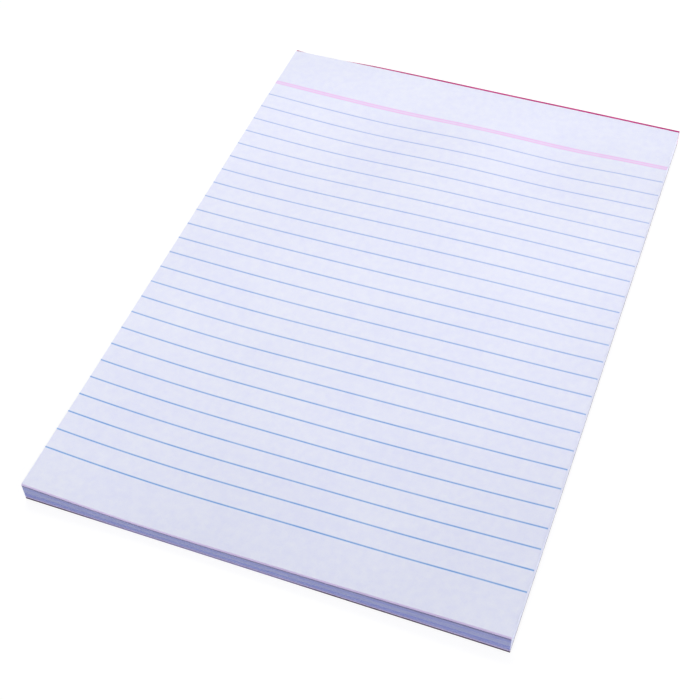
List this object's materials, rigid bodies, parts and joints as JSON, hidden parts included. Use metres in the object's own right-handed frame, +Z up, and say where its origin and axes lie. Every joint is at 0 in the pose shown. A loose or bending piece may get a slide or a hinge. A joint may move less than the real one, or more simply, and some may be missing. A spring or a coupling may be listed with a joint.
{
  "type": "writing pad",
  "caption": "Ruled writing pad: a block of bent paper leaves with feint lines, gummed along the head edge on a thin backing board, for handwritten notes and letters.",
  "frame": {"origin": "under the middle of the pad, on the surface that it lies on", "axes": "+X across the page to the right, +Y up the page towards the gummed head, +Z up from the board through the leaves"},
  "size_m": [0.145, 0.21, 0.008],
  "materials": {
    "leaves": "uncoated, faintly lavender white",
    "board": "matt grey board",
    "gum": "dried red padding gum, satin",
    "blue_ink": "printed ink, matt pale blue",
    "pink_ink": "printed ink, matt pale pink"
  },
  "bodies": {
    "root": {"page_block": "leaves", "backing_board": "board", "gum_binding": "gum", "blue_rules": "blue_ink", "head_rules": "pink_ink"}
  },
  "joints": []
}
